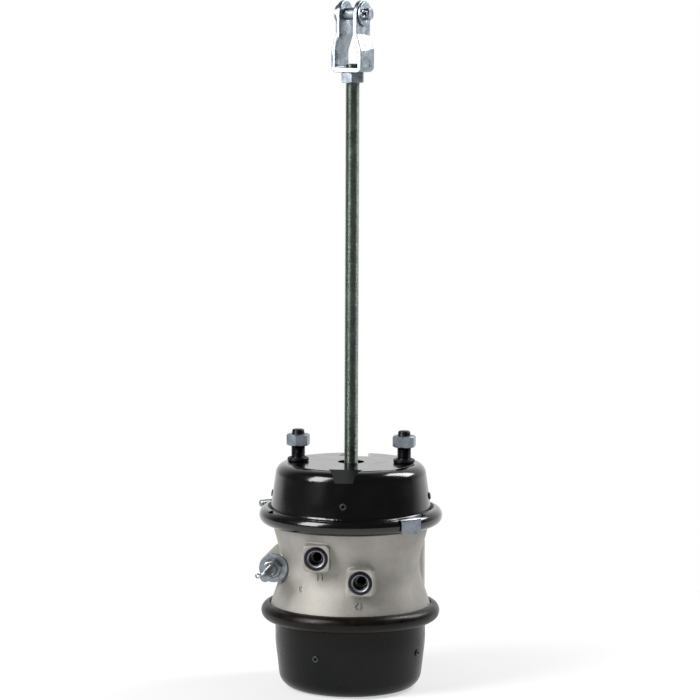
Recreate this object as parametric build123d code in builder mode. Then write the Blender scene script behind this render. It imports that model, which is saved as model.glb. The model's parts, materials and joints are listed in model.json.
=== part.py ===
from build123d import *
import math
import os

# Double-diaphragm spring brake chamber. A pressed service chamber with the push rod sits on a cast
# flange case, and a spring chamber with the power spring hangs below it. Millimetres. Z = 0 is the
# mounting face, +Z is the way the push rod pushes, the mounting studs lie along X and both air ports
# face -Y. It is modelled parked: no air, power spring extended, push rod out.

os.makedirs("parts", exist_ok=True)

# ---------------------------------------------------------------- driving dimensions
stroke = 60.0
service_housing_depth = 60.0      # mounting face to the middle of the service joint
flange_case_depth = 110.0         # middle of the service joint to the middle of the spring joint
spring_housing_depth = 87.5       # middle of the spring joint to the base

# pressed sheet, rubber and clearances
service_sheet = 3.5
spring_sheet = 4.0
diaphragm = 4.0
running_clearance = 0.05
loose_clearance = 0.3
coil_runs = 24                    # straight runs in one turn of a spring

# clamped joints: a C-shaped ring closes over both flanges
ring_radius = 9.5
ring_wall = 3.0
service_ring_centre = 94.5
spring_ring_centre = 92.0
flange_grip = 1.8                 # how far the flanges reach past the ring's lips
relief_height = 7.3               # the front of the clamp band is rolled lower than the rest
relief_half_angle = 62.0

# name tab on the band
tab_turn = 45.4
tab_sheet = 1.2
tab_half_width = 14.0
tab_drop = 9.3
tab_corner = 4.0

# service housing
mount_corner_radius = 83.8
mount_bend = 13.0
wall_draft = 8.0
flare_bend = 3.5
rod_hole_radius = 15.0
pad_back = 29.0                   # the raised pad ends here behind the studs
pad_height = 0.6
front_notch_inner = 60.0          # pressed rim notches: where each floor starts, and its slope
front_notch_slope = 25.0
back_notch_inner = 44.0
back_notch_slope = 15.0
notch_inner_half_width = 19.5
notch_outer_half_width = 11.5
notch_rim_inset = 2.0             # the outer width is met this far inside the corner
notch_overrun = 12.0              # the pressing tool runs out past the rim

# studs, nuts and push rod: M16 x 1.5
stud_spacing = 120.65
thread_radius = 8.0
stud_height = 36.5
stud_end = 1.5
stud_head_radius = 12.5
stud_head_height = 5.0
stud_shoulder_radius = 8.4        # pressed through the housing
engaged_radius = 7.5              # thread at its pitch line, where a nut is on it
collar_radius = 12.2
collar_bore = 9.25
collar_height = 4.4
nut_across_flats = 24.0
nut_height = 13.0
nut_lift = 18.0
nut_turn = 24.0

# clevis on the push rod
rod_length = 440.0                # mounting face to the underside of the yoke
lock_nut_height = 11.7
yoke_turn = -22.5
yoke_height = 80.0
yoke_strip = 5.0
yoke_half_width = 16.0
yoke_bends = [7, 7, 6.5, 6.5, 7, 7]
yoke_base_half = 18.75
yoke_ear_half = 13.3
yoke_step_low = 24.9
yoke_step_high = 41.8
clevis_pin_radius = 7.0
clevis_pin_height = 65.0
clevis_head_radius = 10.5
clevis_head_height = 5.5
clevis_washer_radius = 14.0
clevis_washer_height = 2.5
clevis_pin_tail = 4.5             # pin left past the split pin
cotter_wire = 1.6
cotter_eye = 3.6
cotter_leg = 7.0
rod_stub = 4.5                    # push rod end that stands inside the yoke

# inside the service chamber
spring_room = 16.0                # height of the squeezed service spring
plate_sheet = 4.0
push_plate_radius = 70.0
push_plate_rim = 6.0
service_wire = 2.2
service_spring_bottom = 56.0
service_spring_top = 28.0
diaphragm_bend = 12.0
bead_bend = 2.0
bead_margin = 0.5
service_diaphragm_crown = 78.0    # radius of the flat middle, then of the wall's foot
service_diaphragm_foot = 84.5

# adapter rod and flange case
adapter_radius = 14.0
bush_wall = 5.0
hub_length = 33.0
hub_margin = 7.0                  # adapter rod left above the hub when the rod is fully back
hub_wall = 7.0
web_top_drop = 9.0
web_bottom_rise = 12.0
foot_gap = 2.0
foot_radius = 52.0
foot_height = 6.0
spigot_radius = 8.0
adapter_wire = 1.8
adapter_spring_bottom = 46.0
adapter_spring_top = 32.0
seal_radius = 1.75
seal_inset = 7.0
spring_diaphragm_crown = 70.0
spring_diaphragm_foot = 82.0

# flange case outside
waist_radius = 75.6
waist_bend = 60.0
case_top_radius = service_ring_centre - 4.5
case_bottom_radius = spring_ring_centre - 0.7
waist_drop = 2.0                  # waist below the underside of the web
bowl_bend = 14.0
hub_root = 4.0
service_bowl_floor = 72.5         # radii of the two diaphragm bowls
service_bowl_mouth = 86.5
spring_bowl_floor = 66.0
spring_bowl_mouth = 85.0
rib_face = 82.0                   # thick rib on the right, behind the ports
rib_start = 8.0
rib_end = 42.0
rib_bend = 6.0
rib_top_drop = 34.0
rib_bottom_rise = 20.0
port_face = case_bottom_radius - 1.3
port_boss = 30.0
port_boss_bend = 5.0
port_thread_radius = 7.25
port_mouth_radius = 9.0
insert_radius = 13.0
insert_depth = 13.0
insert_proud = 0.6
passage_radius = 5.0
passage_length = 14.0
service_port_x = -30.0
service_port_rise = 7.8           # above the top of the web
spring_port_x = 19.5
spring_port_drop = 6.6            # below the underside of the web

# release tool stored in its pocket
tool_x = -84.7
tool_face = 28.0
tool_toe = 3.0
tool_radius = 6.0
tool_reach = 58.0
tool_depth = 66.0
tool_drop = 0.5                   # tool axis below the waist
tool_end = 1.2
tool_cross_half = 10.0
tool_cross_radius = 4.0
tool_pin_inset = 5.5
tool_pin_wire = 1.2
tool_pin_eye = 2.2
tool_pin_leg = 5.0
tool_socket_radius = 9.0
pocket_radius = 12.3
pocket_wall = 4.2
pocket_lip = 6.0
recess_gap = 3.0                  # casting cut back round the tool's washer
tool_washer_radius = 16.5
tool_washer_height = 3.0
tool_nut_flats = 19.0
tool_nut_height = 12.0

# spring chamber
spring_wall_radius = 85.4
spring_shoulder = 35.0            # below the joint, where the wall starts to taper
spring_base_corner = 79.2
spring_base_bend = 18.0
plug_radius = 12.0
plug_lip = 1.5
pressure_plate_radius = 62.0
pressure_plate_height = 8.0
pressure_hub_radius = 24.0
pressure_hub_height = 10.0
pressure_rim = 4.0
pressure_rim_drop = 14.0
power_wire = 7.5
power_bottom_radius = 58.0
power_top_radius = 44.0

# clamp bolt
clamp_bolt_radius = 4.0
clamp_bolt_turn = -144.5
clamp_bolt_reach = 56.0
ear_gap = 6.0
ear_thickness = 5.0
ear_reach = 121.0
clamp_bolt_place = 113.0
clamp_bolt_flats = 13.0
clamp_bolt_head = 5.3
clamp_nut_height = 6.5

# vents
vent_radius = 3.0
vent_flange_radius = 4.0
vent_bore = 1.6
vent_flange = 1.6
service_vent_z = -37.5
spring_vent_drop = 42.0
spring_vent_turn = -21.5

# ---------------------------------------------------------------- heights that follow
service_joint_z = -service_housing_depth
spring_joint_z = service_joint_z - flange_case_depth
base_z = spring_joint_z - spring_housing_depth
half_stack = ring_radius - ring_wall
ceiling_z = -pad_height - service_sheet
service_flange_z = service_joint_z + half_stack
spring_flange_z = spring_joint_z - half_stack
case_top_z = service_flange_z - service_sheet - diaphragm
case_bottom_z = spring_flange_z + spring_sheet + diaphragm
plate_top_z = ceiling_z - spring_room
adapter_head_z = plate_top_z - plate_sheet - diaphragm
hub_top_z = adapter_head_z - stroke - hub_margin
hub_bottom_z = hub_top_z - hub_length
web_top_z = hub_top_z - web_top_drop
web_bottom_z = hub_bottom_z + web_bottom_rise
waist_z = web_bottom_z - waist_drop
foot_top_z = hub_bottom_z - foot_gap
foot_bottom_z = foot_top_z - foot_height
spring_plate_z = foot_bottom_z - diaphragm
service_port_z = web_top_z + service_port_rise
spring_port_z = web_bottom_z - spring_port_drop
yoke_z = rod_length
pin_z = yoke_z + clevis_pin_height
service_flange_radius = service_ring_centre + flange_grip
spring_flange_radius = spring_ring_centre + flange_grip
wall_slope = math.tan(math.radians(wall_draft))
wall_foot_radius = mount_corner_radius - (pad_height + service_flange_z) * wall_slope
bush_radius = adapter_radius + bush_wall
hub_radius = bush_radius + hub_wall


# ---------------------------------------------------------------- shared shapes
def radial_plane(turn, height):
    """Plane through the axis: x runs outward at this turn from -Y, y runs up."""
    angle = math.radians(turn)
    return Plane(
        origin=(0, 0, height),
        x_dir=(math.sin(angle), -math.cos(angle), 0),
        z_dir=(-math.cos(angle), -math.sin(angle), 0),
    )


def outward_plane(turn, reach, height):
    """Plane that faces outward at this turn from -Y, with y up."""
    angle = math.radians(turn)
    outward = Vector(math.sin(angle), -math.cos(angle), 0)
    return Plane(
        origin=outward * reach + Vector(0, 0, height),
        x_dir=(math.cos(angle), math.sin(angle), 0),
        z_dir=outward,
    )


def wall_plane(turn, reach, height, lean):
    """Outward plane on a wall whose normal leans up by this angle."""
    level = outward_plane(turn, reach, height)
    tilt = math.radians(lean)
    return Plane(
        origin=level.origin,
        x_dir=level.x_dir,
        z_dir=level.z_dir * math.cos(tilt) + Vector(0, 0, math.sin(tilt)),
    )


def upright(plane):
    """The plane that holds a plane's x direction and its normal."""
    return Plane(origin=plane.origin, x_dir=plane.x_dir, z_dir=-plane.y_dir)


def axis_of(plane):
    """The line through a plane's origin along its normal."""
    return Axis(plane.origin, plane.z_dir)


def pressed_sheet(corners, bends, thickness):
    """A round pressing: its outer skin as a bent line, thickened to the inside and revolved."""
    with BuildPart() as shell:
        with BuildSketch(Plane.XZ):
            with BuildLine():
                FilletPolyline(*corners, radius=bends)
                offset(amount=thickness, side=Side.RIGHT)
            make_face()
        revolve(axis=Axis.Z)
    return shell


def turned(planes, outline):
    """Round pieces turned from one half outline of (radius, height) points, one at each plane."""
    with BuildPart() as piece:
        for plane in planes:
            with BuildSketch(upright(plane)):
                with BuildLine():
                    Polyline(*outline, close=True)
                make_face()
            revolve(axis=axis_of(plane))
    return piece


def ring_outline(inner, outer, height, edge):
    """Half outline of a flat ring with its outer edges broken."""
    return [
        (inner, 0),
        (outer - edge, 0),
        (outer, edge),
        (outer, height - edge),
        (outer - edge, height),
        (inner, height),
    ]


def hex_nuts(planes, across_flats, height, bore, turn):
    """Hexagon nuts with both faces and both thread mouths chamfered."""
    corner = across_flats / 2 / math.cos(math.pi / 6)
    face = across_flats / 2 * 0.96
    slope = (corner - face) * math.tan(math.pi / 6)
    mouth = 0.1 * bore
    outline = [
        (bore + mouth, 0),
        (face, 0),
        (corner, slope),
        (corner, height - slope),
        (face, height),
        (bore + mouth, height),
        (bore, height - mouth),
        (bore, mouth),
    ]
    with BuildPart() as nuts:
        for plane in planes:
            with BuildSketch(upright(plane)):
                with BuildLine():
                    Polyline(*outline, close=True)
                make_face()
            revolve(axis=axis_of(plane))
            with BuildSketch(plane):
                Circle(corner + 1)
                RegularPolygon(across_flats / 2, 6, major_radius=False, rotation=turn, mode=Mode.SUBTRACT)
            extrude(amount=height, mode=Mode.SUBTRACT)
    return nuts


def clamp_section(centre, height):
    """The C-shaped section of a clamp ring, open towards the axis."""
    seat = centre + flange_grip + 0.2
    top = height + half_stack
    bottom = height - half_stack
    with BuildSketch(Plane.XZ) as section:
        with BuildLine():
            ThreePointArc(
                (centre, height + ring_radius),
                (centre + ring_radius, height),
                (centre, height - ring_radius),
            )
            Line((centre, height - ring_radius), (centre, bottom))
            Line((centre, bottom), (seat, bottom))
            ThreePointArc((seat, bottom), (centre + ring_radius - ring_wall, height), (seat, top))
            Line((seat, top), (centre, top))
            Line((centre, top), (centre, height + ring_radius))
        make_face()
    return section.sketch


def coil(wire, bottom_radius, top_radius, bottom_z, top_z, turns):
    """A coil spring between two seats, its wire lying on both, drawn in short straight runs."""
    rise = top_z - bottom_z - 2 * wire
    runs = coil_runs * turns
    points = []
    for run in range(runs + 1):
        share = run / runs
        angle = 2 * math.pi * turns * share
        radius = bottom_radius + (top_radius - bottom_radius) * share
        points.append((radius * math.cos(angle), radius * math.sin(angle), bottom_z + wire + rise * share))
    with BuildPart() as spring:
        with BuildLine():
            path = Polyline(*points)
        with BuildSketch(Plane(origin=path @ 0, z_dir=path % 0)):
            Circle(wire)
        sweep(path=path, transition=Transition.RIGHT)
    return spring


def split_pin(plane, wire, reach, eye, leg):
    """Split pin lying along a plane's x: an eye at the near end and two legs bent apart at the far end."""
    ring_wire = 0.75 * wire
    with BuildPart() as pin:
        with BuildSketch(Plane(origin=plane.origin - plane.x_dir * reach, x_dir=plane.y_dir, z_dir=plane.x_dir)):
            Circle(wire)
        extrude(amount=2 * reach)
        with BuildSketch(plane.shift_origin(plane.origin - plane.x_dir * (reach + eye))):
            Circle(eye + ring_wire)
            Circle(eye - ring_wire, mode=Mode.SUBTRACT)
        extrude(amount=0.9 * ring_wire, both=True)
        for side in (-1, 1):
            slant = (plane.x_dir + plane.y_dir * side).normalized()
            root = plane.origin + plane.x_dir * (reach - wire)
            with BuildSketch(Plane(origin=root, z_dir=slant)):
                Circle(0.6 * wire)
            extrude(amount=leg)
    return pin


def save(piece, name):
    """Label a finished piece and write it."""
    piece.part.label = name
    export_step(piece.part, f"parts/{name}.step")


# ---------------------------------------------------------------- service housing
rim_notches = [
    (-1, front_notch_inner, math.radians(front_notch_slope)),
    (1, back_notch_inner, math.radians(back_notch_slope)),
]


def notch_tool(depth_offset, side, inner_reach, slope):
    """The wedge that a rim notch presses out, deepened by depth_offset for its inner skin."""
    floor_plane = Plane(
        origin=(0, side * inner_reach, -depth_offset),
        x_dir=(side, 0, 0),
        z_dir=(0, side * math.sin(slope), math.cos(slope)),
    )
    length = (mount_corner_radius - notch_rim_inset - inner_reach) / math.cos(slope)
    taper = (notch_inner_half_width - notch_outer_half_width) / length
    start = -depth_offset * 0.6
    end = length + notch_overrun
    inner = notch_inner_half_width + depth_offset
    outer = inner - taper * (end - start)
    with BuildPart() as wedge:
        with BuildSketch(floor_plane):
            with BuildLine():
                Polyline(
                    (-inner, start),
                    (inner, start),
                    (outer, end),
                    (-outer, end),
                    close=True,
                )
            make_face()
        extrude(amount=end)
    return wedge.part


def filled_cup(corners, bends):
    """The solid under a pressing's outer skin."""
    with BuildPart() as cup:
        with BuildSketch(Plane.XZ):
            with BuildLine():
                FilletPolyline(*corners, radius=bends)
                Polyline(corners[-1], (0, corners[-1][1]), corners[0])
            make_face()
        revolve(axis=Axis.Z)
    return cup.part


service_vent_radius = mount_corner_radius - (pad_height + service_vent_z) * wall_slope
service_vent_planes = [
    wall_plane(90 * quarter, service_vent_radius, service_vent_z, wall_draft) for quarter in range(4)
]
inner_corner = mount_corner_radius - service_sheet * 0.87
inner_foot = wall_foot_radius - service_sheet
with BuildPart() as cup_outside:
    add(filled_cup(
        [(0, -pad_height), (mount_corner_radius, -pad_height), (wall_foot_radius, service_flange_z)],
        mount_bend,
    ))
    with BuildSketch(Plane.XY.offset(-pad_height)):
        Circle(mount_corner_radius - mount_bend + 1)
        with Locations((0, pad_back)):
            Rectangle(
                2 * mount_corner_radius,
                2 * mount_corner_radius,
                align=(Align.CENTER, Align.MAX),
                mode=Mode.INTERSECT,
            )
    extrude(amount=pad_height)
    chamfer(cup_outside.faces().sort_by(Axis.Z)[-1].edges(), pad_height * 0.6)
    for notch in rim_notches:
        add(notch_tool(0, *notch), mode=Mode.SUBTRACT)

with BuildPart() as cup_inside:
    add(filled_cup(
        [
            (0, ceiling_z),
            (inner_corner, ceiling_z),
            (inner_foot, service_flange_z - service_sheet),
        ],
        mount_bend - service_sheet,
    ))
    for notch in rim_notches:
        add(notch_tool(service_sheet, *notch), mode=Mode.SUBTRACT)

with BuildPart() as service_flange:
    with BuildSketch(Plane.XZ):
        with BuildLine():
            FilletPolyline(
                (wall_foot_radius - 1.4, service_flange_z + 10),
                (wall_foot_radius, service_flange_z),
                (service_flange_radius, service_flange_z),
                radius=flare_bend,
            )
            Polyline(
                (service_flange_radius, service_flange_z),
                (service_flange_radius, service_flange_z - service_sheet),
                (inner_foot, service_flange_z - service_sheet),
                (inner_foot - 1.4, service_flange_z + 10),
                (wall_foot_radius - 1.4, service_flange_z + 10),
            )
        make_face()
    revolve(axis=Axis.Z)

with BuildPart() as non_pressure_housing:
    add(cup_outside.part)
    add(service_flange.part)
    add(cup_inside.part, mode=Mode.SUBTRACT)
    with BuildSketch(Plane.XY):
        Circle(rod_hole_radius)
        with GridLocations(stud_spacing, 1, 2, 1):
            Circle(stud_shoulder_radius)
    extrude(amount=-service_sheet * 2, mode=Mode.SUBTRACT)
    for plane in service_vent_planes:
        with BuildSketch(plane):
            Circle(vent_radius)
        extrude(amount=2 * service_sheet, both=True, mode=Mode.SUBTRACT)
save(non_pressure_housing, "non_pressure_housing")

# ---------------------------------------------------------------- studs and their nuts
stud_planes = [Plane((side * stud_spacing / 2, 0, 0)) for side in (-1, 1)]
mounting_studs = turned(
    stud_planes,
    [
        (0, ceiling_z - stud_head_height),
        (stud_head_radius, ceiling_z - stud_head_height),
        (stud_head_radius, ceiling_z),
        (stud_shoulder_radius, ceiling_z),
        (stud_shoulder_radius, 0),
        (thread_radius, 0),
        (thread_radius, nut_lift),
        (engaged_radius, nut_lift),
        (engaged_radius, stud_height - stud_end),
        (engaged_radius - stud_end, stud_height),
        (0, stud_height),
    ],
)
save(mounting_studs, "mounting_studs")

stud_collars = turned(stud_planes, ring_outline(collar_bore, collar_radius, collar_height, 0.9))
save(stud_collars, "stud_collars")

nut_planes = [plane.offset(nut_lift) for plane in stud_planes]
mounting_nuts = hex_nuts(nut_planes, nut_across_flats, nut_height, engaged_radius, nut_turn)
save(mounting_nuts, "mounting_nuts")

# ---------------------------------------------------------------- service clamp band
ear_plane = Plane(
    origin=(0, 0, service_joint_z),
    x_dir=outward_plane(clamp_bolt_turn, 0, 0).z_dir,
    z_dir=outward_plane(clamp_bolt_turn, 0, 0).x_dir,
)
relief_seat = service_ring_centre + flange_grip + 0.4
relief_top = service_joint_z + relief_height
with BuildPart() as clamp_band:
    add(clamp_section(service_ring_centre, service_joint_z))
    revolve(axis=Axis.Z)
    with BuildSketch(radial_plane(-relief_half_angle, 0)):
        with BuildLine():
            Polyline(
                (service_ring_centre - 1, service_joint_z + 1),
                (relief_seat, service_joint_z + 1),
                (relief_seat, relief_top),
                (service_ring_centre + ring_radius + 1, relief_top),
                (service_ring_centre + ring_radius + 1, service_joint_z + ring_radius + 1),
                (service_ring_centre - 1, service_joint_z + ring_radius + 1),
                close=True,
            )
        make_face()
    revolve(axis=Axis.Z, revolution_arc=2 * relief_half_angle, mode=Mode.SUBTRACT)
    for side in (-1, 1):
        with BuildSketch(ear_plane.offset(side * ear_gap)):
            with Locations(((service_ring_centre + ring_radius - 2 + ear_reach) / 2, 0)):
                RectangleRounded(ear_reach - service_ring_centre - ring_radius + 2, 1.7 * ring_radius, 1.9)
        extrude(amount=side * ear_thickness)
    with BuildSketch(ear_plane):
        with Locations((service_ring_centre + 10, 0)):
            Rectangle(60, 4 * ring_radius)
    extrude(amount=ear_gap, both=True, mode=Mode.SUBTRACT)
    with BuildSketch(ear_plane):
        with Locations((clamp_bolt_place, 0)):
            Circle(clamp_bolt_radius + loose_clearance)
    extrude(amount=ear_gap + ear_thickness, both=True, mode=Mode.SUBTRACT)
save(clamp_band, "clamp_band")

bolt_plane = ear_plane.shift_origin(ear_plane.from_local_coords((clamp_bolt_place, 0, 0)))
ear_face = ear_gap + ear_thickness
with BuildPart() as clamp_bolt:
    with BuildSketch(bolt_plane.offset(-ear_face - clamp_bolt_head)):
        RegularPolygon(clamp_bolt_flats / 2, 6, major_radius=False)
    extrude(amount=clamp_bolt_head)
    chamfer(clamp_bolt.edges().filter_by(GeomType.LINE).filter_by(
        lambda edge: abs(bolt_plane.to_local_coords(edge.center()).Z + ear_face + clamp_bolt_head) < 0.1
    ), 0.5)
    with BuildSketch(bolt_plane.offset(-ear_face)):
        Circle(clamp_bolt_radius)
    extrude(amount=ear_face + clamp_bolt_reach)
save(clamp_bolt, "clamp_bolt")

clamp_nut = hex_nuts([bolt_plane.offset(ear_face)], clamp_bolt_flats, clamp_nut_height, clamp_bolt_radius, 0)
save(clamp_nut, "clamp_nut")

# ---------------------------------------------------------------- name tab hooked over the band
tab_skin = service_ring_centre + ring_radius + 0.05
with BuildPart() as id_tab:
    with BuildSketch(radial_plane(tab_turn, service_joint_z)):
        with BuildLine():
            FilletPolyline(
                (tab_skin, -tab_drop),
                (tab_skin, relief_height),
                (service_ring_centre + 1, relief_height),
                (service_ring_centre + 1, half_stack + 0.2),
                radius=[1.5, 0.4],
            )
            offset(amount=tab_sheet, side=Side.RIGHT)
        make_face()
    extrude(amount=tab_half_width, both=True)
    fillet(
        id_tab.edges().filter_by(Axis(origin=(0, 0, 0), direction=outward_plane(tab_turn, 0, 0).z_dir))
        .group_by(Axis.Z)[0],
        tab_corner,
    )
save(id_tab, "id_tab")

# ---------------------------------------------------------------- flange case
tool_angle = math.radians(tool_toe)
tool_plane = Plane(
    origin=(tool_x, -tool_face, waist_z - tool_drop),
    x_dir=(math.cos(tool_angle), -math.sin(tool_angle), 0),
    z_dir=(-math.sin(tool_angle), -math.cos(tool_angle), 0),
)
pocket_depth = tool_depth + tool_cross_radius
port_places = [(service_port_x, service_port_z), (spring_port_x, spring_port_z)]
port_planes = [
    Plane(origin=(x, -port_face, z), x_dir=(1, 0, 0), z_dir=(0, -1, 0)) for x, z in port_places
]
rib_top = service_joint_z - rib_top_drop
rib_bottom = spring_joint_z + rib_bottom_rise

with BuildPart() as flange_case:
    with BuildSketch(Plane.XZ):
        with BuildLine():
            Polyline(
                (case_bottom_radius, spring_joint_z + half_stack),
                (spring_flange_radius, spring_joint_z + half_stack),
                (spring_flange_radius, case_bottom_z),
                (0, case_bottom_z),
                (0, case_top_z),
                (service_flange_radius, case_top_z),
                (service_flange_radius, service_joint_z - half_stack),
                (case_top_radius, service_joint_z - half_stack),
            )
            FilletPolyline(
                (case_top_radius, service_joint_z - half_stack),
                (waist_radius, waist_z),
                (case_bottom_radius, spring_joint_z + half_stack),
                radius=waist_bend,
            )
        make_face()
    revolve(axis=Axis.Z)
    for plane in port_planes:
        with BuildSketch(plane):
            RectangleRounded(port_boss, port_boss, port_boss_bend)
        extrude(amount=-port_boss)
    with BuildSketch(tool_plane):
        Circle(pocket_radius + pocket_wall)
    extrude(amount=-pocket_depth - pocket_wall)
    with BuildSketch(tool_plane):
        Circle(tool_washer_radius + recess_gap)
    extrude(amount=2 * tool_face, mode=Mode.SUBTRACT)
    with BuildSketch(Plane.XY.offset(rib_bottom)):
        with Locations((rib_face / 2, (rib_start + rib_end) / 2)):
            RectangleRounded(rib_face, rib_end - rib_start, rib_bend)
    extrude(amount=rib_top - rib_bottom)
    # bowls for the two diaphragms
    with BuildSketch(Plane.XZ):
        with BuildLine():
            FilletPolyline(
                (hub_radius, case_top_z),
                (hub_radius, web_top_z),
                (service_bowl_floor, web_top_z),
                (service_bowl_mouth, case_top_z),
                radius=[hub_root, bowl_bend],
            )
            Line((service_bowl_mouth, case_top_z), (hub_radius, case_top_z))
        make_face()
        with BuildLine():
            FilletPolyline(
                (hub_radius, case_bottom_z),
                (hub_radius, web_bottom_z),
                (spring_bowl_floor, web_bottom_z),
                (spring_bowl_mouth, case_bottom_z),
                radius=[hub_root, bowl_bend],
            )
            Line((spring_bowl_mouth, case_bottom_z), (hub_radius, case_bottom_z))
        make_face()
        with Locations((hub_radius / 2, (case_top_z + hub_top_z) / 2)):
            Rectangle(hub_radius, case_top_z - hub_top_z)
        with Locations((hub_radius / 2, (case_bottom_z + hub_bottom_z) / 2)):
            Rectangle(hub_radius, hub_bottom_z - case_bottom_z)
        with Locations((bush_radius / 2, (hub_top_z + hub_bottom_z) / 2)):
            Rectangle(bush_radius, hub_length)
    revolve(axis=Axis.Z, mode=Mode.SUBTRACT)
    for plane in port_planes:
        with BuildSketch(plane):
            Circle(insert_radius)
        extrude(amount=-insert_depth, mode=Mode.SUBTRACT)
        with BuildSketch(plane.offset(-insert_depth)):
            Circle(passage_radius)
        extrude(amount=-passage_length, mode=Mode.SUBTRACT)
    with BuildSketch(tool_plane.offset(-pocket_lip)):
        Circle(pocket_radius)
    extrude(amount=-(pocket_depth - pocket_lip), mode=Mode.SUBTRACT)
    with BuildSketch(tool_plane):
        Circle(tool_radius + loose_clearance)
        Rectangle(2 * tool_cross_half + 2, 2 * tool_cross_radius + 2)
    extrude(amount=-pocket_lip, mode=Mode.SUBTRACT)
save(flange_case, "flange_case")

# ---------------------------------------------------------------- port inserts
port_inserts = turned(
    [plane.offset(-insert_depth) for plane in port_planes],
    [
        (port_thread_radius, 0),
        (insert_radius, 0),
        (insert_radius, insert_depth + insert_proud - 0.5),
        (insert_radius - 0.5, insert_depth + insert_proud),
        (port_mouth_radius, insert_depth + insert_proud),
        (port_thread_radius, insert_depth + insert_proud - (port_mouth_radius - port_thread_radius)),
    ],
)
save(port_inserts, "port_inserts")

# ---------------------------------------------------------------- guide bush and its seals
seal_groove = seal_radius + 0.4
seal_heights = [hub_top_z - seal_inset, hub_bottom_z + seal_inset]
seal_centre = adapter_radius + running_clearance + seal_radius
with BuildPart() as guide_bush:
    with BuildSketch(Plane.XY.offset(hub_bottom_z)):
        Circle(bush_radius)
        Circle(adapter_radius + running_clearance, mode=Mode.SUBTRACT)
    extrude(amount=hub_length)
    for height in seal_heights:
        with BuildSketch(Plane.XY.offset(height - seal_groove)):
            Circle(seal_centre + seal_radius)
            Circle(adapter_radius, mode=Mode.SUBTRACT)
        extrude(amount=2 * seal_groove, mode=Mode.SUBTRACT)
save(guide_bush, "guide_bush")

with BuildPart() as adapter_rod_seals:
    for height in seal_heights:
        with BuildSketch(Plane.XZ):
            with Locations((seal_centre, height)):
                Circle(seal_radius)
        revolve(axis=Axis.Z)
save(adapter_rod_seals, "adapter_rod_seals")

# ---------------------------------------------------------------- adapter rod and its foot
adapter_rod = turned(
    [Plane.XY],
    [
        (0, foot_bottom_z),
        (spigot_radius, foot_bottom_z),
        (spigot_radius, foot_top_z),
        (adapter_radius, foot_top_z),
        (adapter_radius, adapter_head_z - 2),
        (adapter_radius - 2, adapter_head_z),
        (0, adapter_head_z),
    ],
)
save(adapter_rod, "adapter_rod")

adapter_foot = turned([Plane.XY.offset(foot_bottom_z)], ring_outline(spigot_radius, foot_radius, foot_height, 2))
save(adapter_foot, "adapter_foot")

# ---------------------------------------------------------------- diaphragms
service_diaphragm = pressed_sheet(
    [
        (0, adapter_head_z + diaphragm),
        (service_diaphragm_crown, adapter_head_z + diaphragm),
        (service_diaphragm_foot, case_top_z + diaphragm),
        (service_flange_radius - bead_margin, case_top_z + diaphragm),
    ],
    [diaphragm_bend, bead_bend],
    diaphragm,
)
save(service_diaphragm, "service_diaphragm")

spring_diaphragm = pressed_sheet(
    [
        (0, foot_bottom_z),
        (spring_diaphragm_crown, foot_bottom_z),
        (spring_diaphragm_foot, case_bottom_z),
        (spring_flange_radius - bead_margin, case_bottom_z),
    ],
    [diaphragm_bend, bead_bend],
    diaphragm,
)
save(spring_diaphragm, "spring_diaphragm")

# ---------------------------------------------------------------- push rod, plate and their springs
with BuildPart() as pushrod_plate:
    with BuildSketch(Plane.XY.offset(plate_top_z)):
        Circle(push_plate_radius)
    extrude(amount=-plate_sheet)
    with BuildSketch(Plane.XY.offset(plate_top_z)):
        Circle(push_plate_radius)
        Circle(push_plate_radius - plate_sheet, mode=Mode.SUBTRACT)
    extrude(amount=push_plate_rim)
    fillet(pushrod_plate.faces().sort_by(Axis.Z)[0].edges(), 3)
    with BuildSketch(Plane.XY.offset(plate_top_z)):
        Circle(thread_radius)
    extrude(amount=-plate_sheet, mode=Mode.SUBTRACT)
save(pushrod_plate, "pushrod_plate")

pushrod = turned(
    [Plane.XY],
    [
        (0, plate_top_z - plate_sheet),
        (thread_radius, plate_top_z - plate_sheet),
        (thread_radius, yoke_z + yoke_strip + rod_stub - 1.2),
        (thread_radius - 1.2, yoke_z + yoke_strip + rod_stub),
        (0, yoke_z + yoke_strip + rod_stub),
    ],
)
save(pushrod, "pushrod")

service_return_spring = coil(
    service_wire, service_spring_bottom, service_spring_top, plate_top_z, ceiling_z, 4
)
save(service_return_spring, "service_return_spring")

adapter_return_spring = coil(
    adapter_wire, adapter_spring_bottom, adapter_spring_top, foot_top_z, web_bottom_z, 3
)
save(adapter_return_spring, "adapter_return_spring")

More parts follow.
